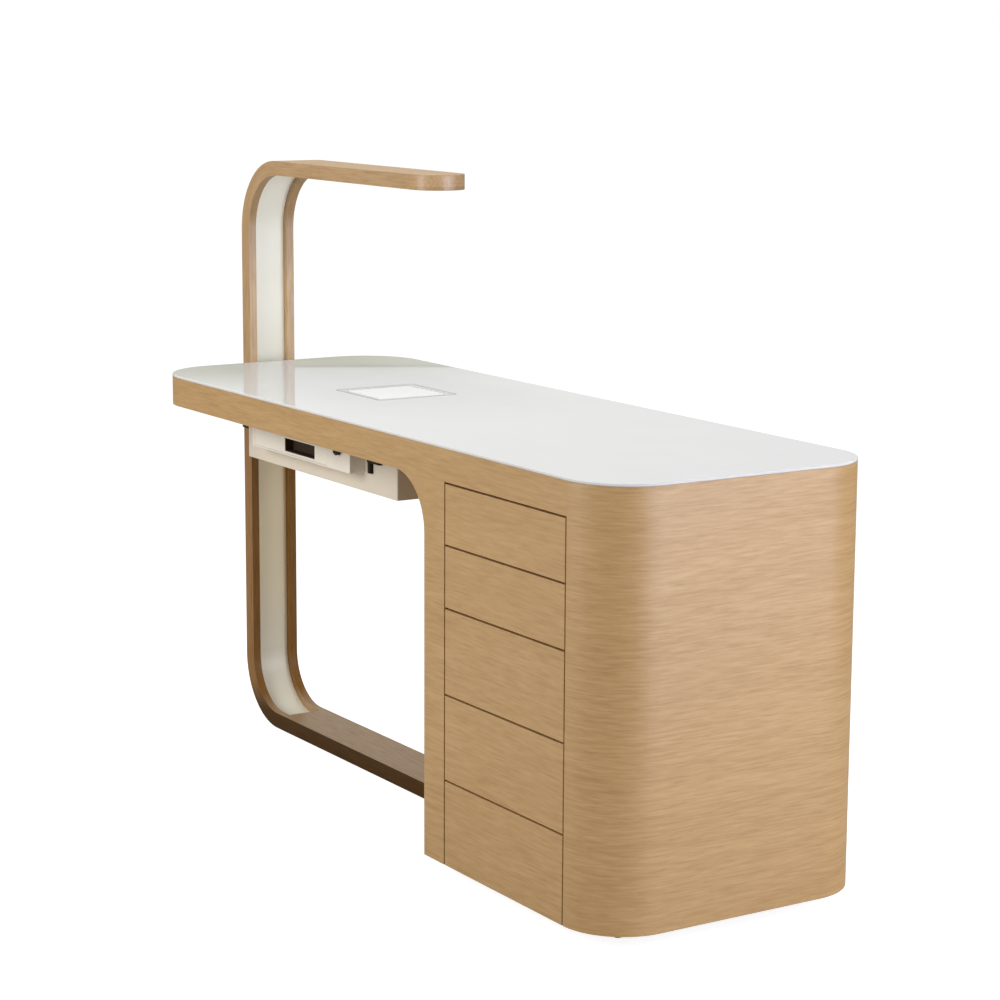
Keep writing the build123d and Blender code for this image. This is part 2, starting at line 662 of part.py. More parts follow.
PULL_WALL = 1.5
PULL_SETBACK = 0.8
with BuildPart() as pull_lining:
    block(
        (PULL_LEFT, BEZEL_FRONT + PULL_SETBACK, PULL_LOW),
        (PULL_LEFT + PULL_WIDTH, BEZEL_FRONT + PULL_DEPTH, PULL_HIGH),
    )
    block(
        (PULL_LEFT + PULL_WALL, BEZEL_FRONT, PULL_LOW + PULL_WALL),
        (PULL_LEFT + PULL_WIDTH - PULL_WALL, BEZEL_FRONT + PULL_DEPTH - PULL_WALL, PULL_HIGH - PULL_WALL),
        mode=Mode.SUBTRACT,
    )
save(pull_lining, "pull_lining")

TRAY_LEFT = HATCH_LEFT + 4
TRAY_RIGHT = HATCH_RIGHT - 4
TRAY_LOW = HATCH_LOW + 3
TRAY_BACK = COLLECTOR_FRONT + TRAY_DEPTH
with BuildPart() as filter_tray:
    block((TRAY_LEFT, COLLECTOR_FRONT, TRAY_LOW), (TRAY_RIGHT, TRAY_BACK, TRAY_TOP))
    block(
        (TRAY_LEFT + TRAY_WALL, COLLECTOR_FRONT + TRAY_WALL, TRAY_LOW + TRAY_WALL),
        (TRAY_RIGHT - TRAY_WALL, TRAY_BACK - TRAY_WALL, TRAY_TOP),
        mode=Mode.SUBTRACT,
    )
    block(
        (TRAY_LEFT + TRAY_LEDGE, COLLECTOR_FRONT + TRAY_LEDGE, TRAY_LOW),
        (TRAY_RIGHT - TRAY_LEDGE, TRAY_BACK - TRAY_LEDGE, TRAY_LOW + TRAY_WALL),
        mode=Mode.SUBTRACT,
    )
save(filter_tray, "filter_tray")

CASSETTE_LOW = TRAY_LOW + TRAY_WALL
CASSETTE_HIGH = TRAY_TOP - 3
CASSETTE_WALL = 6.0
cassette = (TRAY_LEFT + TRAY_WALL + 0.5, COLLECTOR_FRONT + TRAY_WALL + 0.5)
cassette_far = (TRAY_RIGHT - TRAY_WALL - 0.5, TRAY_BACK - TRAY_WALL - 0.5)
with BuildPart() as filter_frame:
    block((*cassette, CASSETTE_LOW), (*cassette_far, CASSETTE_HIGH))
    block(
        (cassette[0] + CASSETTE_WALL, cassette[1] + CASSETTE_WALL, CASSETTE_LOW),
        (cassette_far[0] - CASSETTE_WALL, cassette_far[1] - CASSETTE_WALL, CASSETTE_HIGH),
        mode=Mode.SUBTRACT,
    )
save(filter_frame, "filter_frame")

with BuildPart() as filter_pad:
    block(
        (cassette[0] + CASSETTE_WALL, cassette[1] + CASSETTE_WALL, CASSETTE_LOW + 2),
        (cassette_far[0] - CASSETTE_WALL, cassette_far[1] - CASSETTE_WALL, CASSETTE_HIGH - 2),
    )
save(filter_pad, "filter_pad")

# fan behind the bulkhead
FAN_Y = 0.0
FAN_Z = (INSIDE_LOW + INSIDE_HIGH) / 2
FAN_RADIUS = 48.0
FAN_CLEARANCE = 1.5
FAN_WIDTH = 26.0
SHROUD_OUTER = 56.0
HUB_RADIUS = 20.0
MOTOR_RADIUS = 24.0
MOTOR_SHAFT = 2.5
BLADES = 7
with BuildPart() as fan_bulkhead:
    block(
        (BULKHEAD_X, COLLECTOR_FRONT + SHEET, INSIDE_LOW),
        (BULKHEAD_X + SHEET, COLLECTOR_BACK - SHEET, INSIDE_HIGH),
    )
    rod((BULKHEAD_X, FAN_Y, FAN_Z), (1, 0, 0), FAN_RADIUS + FAN_CLEARANCE, SHEET, mode=Mode.SUBTRACT)
save(fan_bulkhead, "fan_bulkhead")

SHROUD_LEFT = BULKHEAD_X + SHEET
STRUT = 6.0
HALF_STRUT = 4.0
STRUT_REACH = FAN_RADIUS + 3
with BuildPart() as fan_shroud:
    shroud_start = (SHROUD_LEFT, FAN_Y, FAN_Z)
    strut_left = SHROUD_LEFT + FAN_WIDTH
    strut_right = strut_left + STRUT
    rod(shroud_start, (1, 0, 0), SHROUD_OUTER, FAN_WIDTH + STRUT)
    rod(shroud_start, (1, 0, 0), FAN_RADIUS + FAN_CLEARANCE, FAN_WIDTH + STRUT, mode=Mode.SUBTRACT)
    block((strut_left, -STRUT_REACH, FAN_Z - HALF_STRUT), (strut_right, STRUT_REACH, FAN_Z + HALF_STRUT))
    block((strut_left, -HALF_STRUT, FAN_Z - STRUT_REACH), (strut_right, HALF_STRUT, FAN_Z + STRUT_REACH))
    rod((strut_left, FAN_Y, FAN_Z), (1, 0, 0), MOTOR_RADIUS + 3, STRUT)
    rod((strut_left, FAN_Y, FAN_Z), (1, 0, 0), MOTOR_RADIUS, STRUT, mode=Mode.SUBTRACT)
save(fan_shroud, "fan_shroud")

MOTOR_LEFT = SHROUD_LEFT + FAN_WIDTH - 1
MOTOR_LENGTH = 34.0
MOTOR_SHAFT_LENGTH = 17.0
with BuildPart() as fan_motor:
    rod((MOTOR_LEFT, FAN_Y, FAN_Z), (1, 0, 0), MOTOR_RADIUS, MOTOR_LENGTH)
    rod((MOTOR_LEFT, FAN_Y, FAN_Z), (-1, 0, 0), MOTOR_SHAFT, MOTOR_SHAFT_LENGTH)
save(fan_motor, "fan_motor")

BLADE_TILT = 35.0
BLADE_THICKNESS = 2.0
BLADE_WIDTH = 18.0
HUB_LEFT = SHROUD_LEFT + 2
HUB_LENGTH = FAN_WIDTH - 5
with BuildPart() as fan_impeller:
    rod((HUB_LEFT, FAN_Y, FAN_Z), (1, 0, 0), HUB_RADIUS, HUB_LENGTH)
    for i in range(BLADES):
        turn = 360 / BLADES * i
        spoke = (0, cos(radians(turn)), sin(radians(turn)))
        tilt = radians(BLADE_TILT)
        across = (cos(tilt), -sin(tilt) * spoke[2], sin(tilt) * spoke[1])
        root = (
            HUB_LEFT + HUB_LENGTH / 2,
            FAN_Y + (HUB_RADIUS - 3) * spoke[1],
            FAN_Z + (HUB_RADIUS - 3) * spoke[2],
        )
        with BuildSketch(Plane(origin=root, x_dir=across, z_dir=spoke)):
            Rectangle(BLADE_THICKNESS, BLADE_WIDTH)
        extrude(amount=FAN_RADIUS - HUB_RADIUS + 2)
    rod(
        (HUB_LEFT + HUB_LENGTH, FAN_Y, FAN_Z), (-1, 0, 0), MOTOR_SHAFT + SHAFT_PLAY, 16,
        mode=Mode.SUBTRACT,
    )
save(fan_impeller, "fan_impeller")

# speed control and its knob
CONTROL_RADIUS = 11.0
KNOB_LENGTH = 8.0
SHAFT_REACH = 6.0
with BuildPart() as speed_control:
    rod((KNOB_X, BEZEL_FRONT + SHEET, KNOB_Z), (0, 1, 0), CONTROL_RADIUS, 10)
    rod((KNOB_X, BEZEL_FRONT + SHEET, KNOB_Z), (0, -1, 0), KNOB_SHAFT, SHEET + SHAFT_REACH)
save(speed_control, "speed_control")

with BuildPart() as speed_knob:
    rod((KNOB_X, BEZEL_FRONT - 0.5, KNOB_Z), (0, -1, 0), KNOB_RADIUS, KNOB_LENGTH)
    chamfer(speed_knob.faces().sort_by(Axis.Y)[0].edges(), 1.2)
    block(
        (KNOB_X - 1, BEZEL_FRONT - KNOB_LENGTH - 1.3, KNOB_Z + 2),
        (KNOB_X + 1, BEZEL_FRONT - KNOB_LENGTH + 1, KNOB_Z + KNOB_RADIUS - 2),
    )
    rod(
        (KNOB_X, BEZEL_FRONT, KNOB_Z), (0, -1, 0), KNOB_SHAFT + SHAFT_PLAY, SHAFT_REACH + 0.2,
        mode=Mode.SUBTRACT,
    )
save(speed_knob, "speed_knob")

# power inlet block with a rocker, and the cover over the lead that drops from it into the housing
INLET_LEFT = -64.0
INLET_RIGHT = -22.0
INLET_LOW = 657.0
INLET_HIGH = 690.0
INLET_FRONT = COLLECTOR_FRONT - 9
ROCKER_X = -36.0
ROCKER_Z = 674.0
ROCKER_WIDTH = 12.0
ROCKER_HEIGHT = 18.0
ROCKER_TILT = 7.0
ROCKER_PIN = 1.2
ROCKER_GAP = 0.6
ROCKER_POCKET = 8.0
PIN_DEPTH = 5.0
PIN_LENGTH = ROCKER_WIDTH + 2 * ROCKER_GAP + 2
with BuildPart() as power_inlet:
    block((INLET_LEFT, INLET_FRONT, INLET_LOW), (INLET_RIGHT, COLLECTOR_FRONT, INLET_HIGH))
    fillet(power_inlet.faces().sort_by(Axis.Y)[0].edges(), 1.5)
    pocket_half = ROCKER_WIDTH / 2 + ROCKER_GAP
    block(
        (ROCKER_X - pocket_half, INLET_FRONT, ROCKER_Z - ROCKER_HEIGHT / 2 - 1),
        (ROCKER_X + pocket_half, INLET_FRONT + ROCKER_POCKET, ROCKER_Z + ROCKER_HEIGHT / 2 + 1),
        mode=Mode.SUBTRACT,
    )
    pin_start = (ROCKER_X - PIN_LENGTH / 2 - SHAFT_PLAY, INLET_FRONT + PIN_DEPTH, ROCKER_Z)
    rod(pin_start, (1, 0, 0), ROCKER_PIN + SHAFT_PLAY, PIN_LENGTH + 2 * SHAFT_PLAY, mode=Mode.SUBTRACT)
save(power_inlet, "power_inlet")

rocker_plane = Plane(
    origin=(ROCKER_X, INLET_FRONT + PIN_DEPTH, ROCKER_Z),
    x_dir=(1, 0, 0),
    z_dir=(0, -cos(radians(ROCKER_TILT)), sin(radians(ROCKER_TILT))),
)
with BuildPart() as power_rocker:
    with BuildSketch(rocker_plane):
        Rectangle(ROCKER_WIDTH, ROCKER_HEIGHT - 2)
    extrude(amount=6)
    with BuildSketch(rocker_plane):
        Rectangle(ROCKER_WIDTH, 6)
    extrude(amount=-2)
    rod((ROCKER_X - PIN_LENGTH / 2, INLET_FRONT + PIN_DEPTH, ROCKER_Z), (1, 0, 0), ROCKER_PIN, PIN_LENGTH)
save(power_rocker, "power_rocker")

LEAD_COVER_LEFT = INLET_LEFT
LEAD_COVER_WIDTH = 9.0
LEAD_COVER_DEPTH = 8.0
LEAD_COVER_LOW = 637.0
with BuildPart() as lead_cover:
    block(
        (LEAD_COVER_LEFT, COLLECTOR_FRONT - LEAD_COVER_DEPTH, LEAD_COVER_LOW),
        (LEAD_COVER_LEFT + LEAD_COVER_WIDTH, COLLECTOR_FRONT, INLET_LOW),
    )
    fillet(lead_cover.faces().sort_by(Axis.Y)[0].edges(), 2)
save(lead_cover, "lead_cover")

SUPPLY_LEFT = -75.0
SUPPLY_RIGHT = 20.0
SUPPLY_FRONT = 80.0
SUPPLY_BACK = 165.0
SUPPLY_HEIGHT = 36.0
with BuildPart() as power_supply:
    block(
        (SUPPLY_LEFT, SUPPLY_FRONT, INSIDE_LOW),
        (SUPPLY_RIGHT, SUPPLY_BACK, INSIDE_LOW + SUPPLY_HEIGHT),
    )
    fillet(power_supply.edges().filter_by(Axis.Z), 3)
save(power_supply, "power_supply")
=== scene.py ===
"""Looks for the manicure table: materials, floor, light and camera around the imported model."""
import json
from math import radians

import bpy
from mathutils import Matrix, Vector


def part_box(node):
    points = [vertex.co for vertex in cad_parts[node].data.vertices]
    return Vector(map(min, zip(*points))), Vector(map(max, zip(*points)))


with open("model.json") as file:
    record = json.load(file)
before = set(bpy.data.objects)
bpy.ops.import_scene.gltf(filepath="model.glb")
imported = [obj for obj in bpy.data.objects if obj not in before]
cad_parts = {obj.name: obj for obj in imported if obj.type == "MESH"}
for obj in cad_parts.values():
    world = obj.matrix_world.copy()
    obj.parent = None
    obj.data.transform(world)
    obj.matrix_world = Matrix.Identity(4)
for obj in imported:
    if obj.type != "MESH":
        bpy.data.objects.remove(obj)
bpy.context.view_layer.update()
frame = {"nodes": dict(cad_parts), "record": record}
nodes = frame["nodes"]
scene = bpy.context.scene


# ---- node helpers ----
class Nodes:
    """Short names for the nodes of one tree. place is the coordinate the tree works in."""

    def __init__(self, tree, coordinate):
        self.tree = tree
        self.place = self.add("ShaderNodeTexCoord").outputs[coordinate]

    def add(self, kind, **settings):
        node = self.tree.nodes.new(kind)
        for key, value in settings.items():
            setattr(node, key, value)
        return node

    def feed(self, socket, value):
        """Links an output to a socket, or sets the socket to a constant."""
        if isinstance(value, bpy.types.NodeSocket):
            self.tree.links.new(value, socket)
        else:
            socket.default_value = value

    def math(self, operation, a, b=0.0, c=0.0):
        node = self.add("ShaderNodeMath", operation=operation)
        for socket, value in zip(node.inputs, (a, b, c)):
            self.feed(socket, value)
        return node.outputs[0]

    def split(self, vector):
        node = self.add("ShaderNodeSeparateXYZ")
        self.feed(node.inputs[0], vector)
        return node.outputs

    def join(self, x, y, z):
        node = self.add("ShaderNodeCombineXYZ")
        for socket, value in zip(node.inputs, (x, y, z)):
            self.feed(socket, value)
        return node.outputs[0]

    def stretched(self, vector, scale):
        node = self.add("ShaderNodeMapping")
        self.feed(node.inputs["Vector"], vector)
        node.inputs["Scale"].default_value = scale
        return node.outputs[0]

    def noise(self, vector, scale, detail=2.0, roughness=0.5, distortion=0.0):
        node = self.add("ShaderNodeTexNoise")
        self.feed(node.inputs["Vector"], vector)
        node.inputs["Scale"].default_value = scale
        node.inputs["Detail"].default_value = detail
        node.inputs["Roughness"].default_value = roughness
        node.inputs["Distortion"].default_value = distortion
        return node.outputs["Fac"]

    def ramp(self, value, *stops):
        node = self.add("ShaderNodeValToRGB")
        self.feed(node.inputs[0], value)
        elements = node.color_ramp.elements
        while len(elements) < len(stops):
            elements.new(0.5)
        for element, (position, colour) in zip(elements, stops):
            element.position = position
            element.color = (*colour, 1.0)
        return node.outputs[0]

    def span(self, value, low, high, to_low=0.0, to_high=1.0):
        node = self.add("ShaderNodeMapRange")
        for socket, number in zip(node.inputs, (value, low, high, to_low, to_high)):
            self.feed(socket, number)
        return node.outputs[0]

    def mix(self, factor, a, b, blend="MIX"):
        node = self.add("ShaderNodeMix", data_type="RGBA", blend_type=blend)
        self.feed(node.inputs["Factor"], factor)
        for socket, value in ((node.inputs[6], a), (node.inputs[7], b)):
            self.feed(socket, (*value, 1.0) if isinstance(value, tuple) else value)
        return node.outputs[2]

    def light_path(self, name):
        return self.add("ShaderNodeLightPath").outputs[name]


class Shader(Nodes):
    """A material's node tree with one Principled shader, built by name."""

    def __init__(self, name):
        self.material = bpy.data.materials.new(name)
        self.material.use_nodes = True
        super().__init__(self.material.node_tree, "Object")
        self.principled = self.tree.nodes["Principled BSDF"]

    def bump(self, height, distance, strength=1.0):
        node = self.add("ShaderNodeBump")
        self.feed(node.inputs["Height"], height)
        node.inputs["Distance"].default_value = distance
        node.inputs["Strength"].default_value = strength
        self.feed(self.principled.inputs["Normal"], node.outputs[0])

    def set(self, **values):
        for key, value in values.items():
            name = key.replace("_", " ")
            if isinstance(value, tuple) and len(value) == 3:
                value = (*value, 1.0)
            self.feed(self.principled.inputs[name], value)
        return self.material


def grey(value):
    return (value, value, value)


# ---- oak veneer ----
def oak(name, grain_place, light, middle, dark, roughness):
    """Fine straight-grained oak veneer, satin lacquer. The X of grain_place runs along the grain."""
    shader = Shader(name)
    place = grain_place(shader)
    drift = shader.noise(shader.stretched(place, (3.0, 34.0, 34.0)), 1.0, 2.0, 0.5, 0.2)
    streaks = shader.noise(shader.stretched(place, (17.0, 280.0, 280.0)), 1.0, 3.0, 0.6, 0.1)
    fine = shader.noise(shader.stretched(place, (38.0, 800.0, 800.0)), 1.0, 2.0, 0.6)
    cloud = shader.noise(shader.stretched(place, (1.6, 4.0, 4.0)), 1.0, 2.0, 0.5)
    tone = shader.math("MULTIPLY_ADD", streaks, 0.75, shader.math("MULTIPLY", drift, 0.25))
    colour = shader.ramp(tone, (0.30, dark), (0.49, middle), (0.68, light))
    pores = shader.span(fine, 0.56, 0.70)
    pore_mask = shader.math("MULTIPLY", pores, shader.span(streaks, 0.40, 0.60, 1.0, 0.25))
    pore_tone = (dark[0] * 0.6, dark[1] * 0.55, dark[2] * 0.5)
    colour = shader.mix(shader.math("MULTIPLY", pore_mask, 0.30), colour, pore_tone)
    warmth = shader.math("MULTIPLY", shader.span(cloud, 0.35, 0.70), 0.10)
    colour = shader.mix(warmth, colour, (middle[0] * 1.1, middle[1] * 0.95, middle[2] * 0.85))
    height = shader.math("MULTIPLY_ADD", pore_mask, -0.8, shader.math("MULTIPLY", streaks, 0.35))
    shader.bump(height, 0.0001, 0.5)
    rough = shader.span(streaks, 0.3, 0.7, roughness + 0.05, roughness - 0.03)
    shader.set(Base_Color=colour, Roughness=rough, IOR=1.65)
    return shader


def level_grain(shader):
    """Grain runs level round the desk: it stretches with X and Y and changes with height."""
    x, y, z = shader.split(shader.place)
    around = shader.math("ADD", x, y)
    across = shader.math("MULTIPLY", shader.math("SUBTRACT", x, y), 0.02)
    return shader.join(around, across, z)


band_low, band_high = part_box("arm_shell")
foot_low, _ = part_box("foot_shell")
BEND_X = band_low.x + 0.140
BEND_HIGH = band_high.z - 0.146
BEND_LOW = foot_low.z + 0.134
BEND_RADIUS = 0.125


def band_grain(shader):
    """Grain follows the band: up the post, round both bends and along the arm and the foot."""
    x, y, z = shader.split(shader.place)
    near_x = shader.math("MAXIMUM", x, BEND_X)
    near_z = shader.math("MINIMUM", shader.math("MAXIMUM", z, BEND_LOW), BEND_HIGH)
    out_x = shader.math("SUBTRACT", near_x, x)
    out_z = shader.math("SUBTRACT", z, near_z)
    across = shader.math("SQRT", shader.math("ADD", shader.math("MULTIPLY", out_x, out_x),
                                             shader.math("MULTIPLY", out_z, out_z)))
    turn = shader.math("ARCTAN2", out_z, out_x)
    side = shader.math("SIGN", out_z)
    run = shader.math("MULTIPLY", side, shader.math("SUBTRACT", near_x, BEND_X))
    along = shader.math("ADD", near_z, shader.math("MULTIPLY_ADD", turn, BEND_RADIUS, run))
    return shader.join(along, y, across)


def board_grain(shader):
    x, y, z = shader.split(shader.place)
    return shader.join(y, x, z)


OAK_LIGHT = (0.535, 0.345, 0.158)
OAK_MIDDLE = (0.470, 0.288, 0.118)
OAK_DARK = (0.390, 0.228, 0.086)
desk_oak = oak("desk_oak", level_grain, OAK_LIGHT, OAK_MIDDLE, OAK_DARK, 0.42).material
band = oak("band_oak_painted_shade", band_grain, (0.530, 0.352, 0.190), (0.462, 0.294, 0.144), (0.350, 0.210, 0.095), 0.36)
board = oak("carcass_board", board_grain, (0.74, 0.60, 0.44), (0.68, 0.54, 0.38), (0.58, 0.45, 0.31), 0.5)

# painted shade and light on the band: below the desk its front and back edges and its inner side are painted
# a deeper, redder brown, darkest along the foot, as painted shade of the desk; above the desk the inner side
# is painted lighter as a painted highlight, darker towards the top bend as painted shade, and paler and
# greyer at the foot top as a painted sheen
PAINTED_SHADE_FULL_Z = 0.660
PAINTED_SHADE_END_Z = 0.700
SKIN = 0.0007
EDGE_PAINTED_SHADE_BY_HEIGHT = (
    (0.032, (0.15, 0.105, 0.04)),
    (0.085, (0.62, 0.50, 0.36)),
    (PAINTED_SHADE_FULL_Z, (0.68, 0.60, 0.52)),
    (PAINTED_SHADE_END_Z, grey(1.0)),
)
RIM_PAINTED_SHADE_AND_LIGHT_BY_HEIGHT = (
    (0.034, (0.88, 0.90, 0.95)),
    (0.060, (0.55, 0.42, 0.22)),
    (PAINTED_SHADE_FULL_Z, (0.51, 0.38, 0.17)),
    (PAINTED_SHADE_END_Z, (1.20, 1.25, 1.30)),
    (0.900, (1.20, 1.25, 1.30)),
    (1.000, (0.82, 0.78, 0.72)),
)
_, band_y, band_z = band.split(band.place)
_, _, from_bend = band.split(band_grain(band))
edge_strip = band.math("GREATER_THAN", band.math("ABSOLUTE", band_y), band_high.y - SKIN)
inner_side = band.math("LESS_THAN", from_bend, BEND_RADIUS)
veneer_tone = band.principled.inputs["Base Color"].links[0].from_socket
# inner side: painted shade below the desk, painted highlight above it, painted shade at the top bend,
# painted sheen at the foot top
rim_painted_shade_and_light = band.mix(inner_side, grey(1.0), band.ramp(band_z, *RIM_PAINTED_SHADE_AND_LIGHT_BY_HEIGHT))
# front and back edges: painted shade below the desk, darkest along the foot
band_painted_shade_and_light = band.mix(edge_strip, rim_painted_shade_and_light, band.ramp(band_z, *EDGE_PAINTED_SHADE_BY_HEIGHT))
below_desk = band.span(band_z, PAINTED_SHADE_END_Z, PAINTED_SHADE_FULL_Z)
painted_shade_mask = band.math("MULTIPLY", below_desk, band.math("MAXIMUM", edge_strip, inner_side))
top_face = band.math("GREATER_THAN", band_z, band_high.z - SKIN)
# specular is lowered where shade is painted and on the top face, which takes the sheen away there
band.set(
    Base_Color=band.mix(1.0, veneer_tone, band_painted_shade_and_light, "MULTIPLY"),
    Specular_IOR_Level=band.span(band.math("MAXIMUM", painted_shade_mask, top_face), 0.0, 1.0, 0.5, 0.08),
)
band_oak_painted_shade = band.material


# ---- other materials ----
def moulded(name, colour, roughness, grain=900.0, depth=0.00004, shift=0.04, uneven=0.04, **more):
    """Moulded or coated surface: fine texture, slight tone drift."""
    shader = Shader(name)
    fine = shader.noise(shader.place, grain, 3.0, 0.6)
    drift = shader.noise(shader.place, 9.0, 2.0, 0.5)
    darker = tuple(c * (1 - shift) for c in colour)
    lighter = tuple(min(1.0, c * (1 + shift)) for c in colour)
    tone = shader.ramp(drift, (0.3, darker), (0.7, lighter))
    shader.bump(fine, depth)
    rough = shader.span(fine, 0.3, 0.7, roughness - uneven, roughness + uneven)
    return shader.set(Base_Color=tone, Roughness=rough, **more)


def brushed(name, colour, roughness, place_scale):
    shader = Shader(name)
    lines = shader.noise(shader.stretched(shader.place, place_scale), 1.0, 3.0, 0.7)
    tone = shader.ramp(lines, (0.3, tuple(c * 0.85 for c in colour)), (0.7, colour))
    shader.bump(lines, 0.00003)
    rough = shader.span(lines, 0.3, 0.7, roughness + 0.06, roughness - 0.06)
    return shader.set(Base_Color=tone, Metallic=1.0, Roughness=rough)


def cloth(name, colour, scale, depth):
    """Felt or filter fleece: tangled fibres."""
    shader = Shader(name)
    fibres = shader.noise(shader.place, scale, 5.0, 0.7, 1.2)
    tone = shader.ramp(fibres, (0.3, tuple(c * 0.7 for c in colour)), (0.7, colour))
    shader.bump(fibres, depth)
    return shader.set(Base_Color=tone, Roughness=0.95)


white_glass = moulded(
    "white_glass", (0.71, 0.71, 0.695), 0.012, grain=14.0, depth=0.0, shift=0.012, uneven=0.002, IOR=1.16
)
cover_white = moulded(
    "cover_white", (1.0, 1.0, 0.99), 0.08, grain=500.0, depth=0.0, shift=0.005, uneven=0.01, IOR=1.35
)

# painted shade and warm bounce light: the liner is painted darker and warmer below the desk, standing in for
# the desk's shade, and paler again near the lower bend
LINER_PAINTED_SHADE_BY_HEIGHT = (
    (0.130, (1.0, 0.98, 0.93)), (0.300, (0.99, 0.91, 0.74)), (0.680, (0.99, 0.88, 0.62)), (0.740, grey(1.0))
)
liner = Shader("liner_white")
liner_tone = liner.ramp(liner.noise(liner.place, 9.0), (0.3, (0.93, 0.92, 0.80)), (0.7, (0.96, 0.95, 0.83)))
liner_height = liner.split(liner.place)[2]
# painted warm shade below the desk multiplies the liner's own tone
liner_tone = liner.mix(1.0, liner_tone, liner.ramp(liner_height, *LINER_PAINTED_SHADE_BY_HEIGHT), "MULTIPLY")
liner_white = liner.set(Base_Color=liner_tone, Roughness=0.34)

rim_low, rim_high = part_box("intake_frame")
rim_middle = (rim_low + rim_high) / 2
rim = Shader("intake_rim")
rim_x, rim_y, _ = rim.split(rim.place)
from_middle = rim.math(
    "MAXIMUM",
    rim.math("ABSOLUTE", rim.math("SUBTRACT", rim_x, rim_middle.x)),
    rim.math("ABSOLUTE", rim.math("SUBTRACT", rim_y, rim_middle.y)),
)
# a dark grey line painted round the frame's outer edge is painted shade, standing in for the shaded gap
# round the intake
PAINTED_GAP_SHADE_WIDTH = 0.0035
painted_gap_shade = rim.math("GREATER_THAN", from_middle, (rim_high.x - rim_low.x) / 2 - PAINTED_GAP_SHADE_WIDTH)
plate = rim.ramp(rim.noise(rim.place, 14.0), (0.3, (0.72, 0.72, 0.71)), (0.7, (0.74, 0.74, 0.73)))
intake_rim = rim.set(Base_Color=rim.mix(painted_gap_shade, plate, (0.30, 0.30, 0.29)), Roughness=0.3, IOR=1.3)
collector_white = moulded("collector_white", (0.74, 0.67, 0.56), 0.42, grain=700.0, depth=0.00005)
bezel_white = moulded("bezel_white", (0.86, 0.81, 0.72), 0.32, grain=500.0, depth=0.00002)
dark_steel = moulded("dark_steel", (0.030, 0.018, 0.011), 0.6, grain=800.0, Specular_IOR_Level=0.2)
black_plastic = moulded("black_plastic", (0.016, 0.012, 0.009), 0.5, grain=800.0, Specular_IOR_Level=0.2)
fan_plastic = moulded("fan_plastic", (0.018, 0.018, 0.02), 0.5)
dark_lining = moulded("dark_lining", (0.045, 0.027, 0.015), 0.6, Specular_IOR_Level=0.2)
runner_steel = brushed("runner_steel", (0.62, 0.63, 0.64), 0.32, (700.0, 8.0, 700.0))
screw_steel = brushed("screw_steel", (0.70, 0.70, 0.70), 0.25, (500.0, 500.0, 500.0))
motor_metal = brushed("motor_metal", (0.60, 0.60, 0.61), 0.3, (20.0, 600.0, 600.0))
led_aluminium = brushed("led_board", (0.80, 0.80, 0.80), 0.4, (20.0, 600.0, 600.0))
led_phosphor = moulded("led_chips", (0.92, 0.80, 0.30), 0.4)
felt = cloth("felt", (0.16, 0.13, 0.11), 1500.0, 0.0002)
filter_media = cloth("filter_media", (0.86, 0.86, 0.83), 900.0, 0.0003)
filter_card = moulded("filter_card", (0.62, 0.52, 0.38), 0.8, grain=600.0, depth=0.0001)

opal = Shader("lamp_diffuser")
opal_tone = opal.ramp(opal.noise(opal.place, 12.0), (0.3, (0.90, 0.89, 0.85)), (0.7, (0.94, 0.93, 0.90)))
opal.bump(opal.noise(opal.place, 900.0), 0.00002)
lamp_opal = opal.set(Base_Color=opal_tone, Roughness=0.45)

SLOT_MATERIALS = {
    "oak_veneer": desk_oak,
    "white_glass": white_glass,
    "carcass_board": board.material,
    "liner_white": liner_white,
    "lamp_diffuser": lamp_opal,
    "led_board": led_aluminium,
    "led_chips": led_phosphor,
    "dark_steel": dark_steel,
    "screws": screw_steel,
    "collector_white": collector_white,
    "bezel_white": bezel_white,
    "cover_white": cover_white,
    "black_plastic": black_plastic,
    "runner_steel": runner_steel,
    "filter_card": filter_card,
    "filter_media": filter_media,
    "fan_plastic": fan_plastic,
    "motor_metal": motor_metal,
    "dark_lining": dark_lining,
    "felt": felt,
}
BAND_NODES = ("arm_shell", "post_shell", "foot_shell")
for part in frame["record"]["subparts"]:
    piece = nodes[part["node"]]
    material = band_oak_painted_shade if part["node"] in BAND_NODES else SLOT_MATERIALS[part["material_slot"]]
    if part["node"] == "intake_frame":
        material = intake_rim
    piece.data.materials.clear()
    piece.data.materials.append(material)


# ---- eased edges ----
EASED = {
    0.0003: ("front_frame", "back_frame", "end_shell", "left_side_panel"),
    0.0005: ("collector_housing", "collector_bezel", "filter_drawer_front", "filter_tray", "intake_frame"),
    0.0004: ("post_bracket_front", "post_bracket_back", "power_inlet", "power_rocker", "lamp_diffuser"),
}
WELD_DISTANCE = 0.00002
for width, names in EASED.items():
    for name in names:
        piece = nodes[name]
        weld = piece.modifiers.new("weld", "WELD")
        weld.merge_threshold = WELD_DISTANCE
        bevel = piece.modifiers.new("eased_edges", "BEVEL")
        bevel.width = width
        bevel.segments = 2
        bevel.limit_method = "ANGLE"
        bevel.angle_limit = radians(35)
        normals = piece.modifiers.new("flat_faces_stay_flat", "WEIGHTED_NORMAL")
        normals.mode = "FACE_AREA"

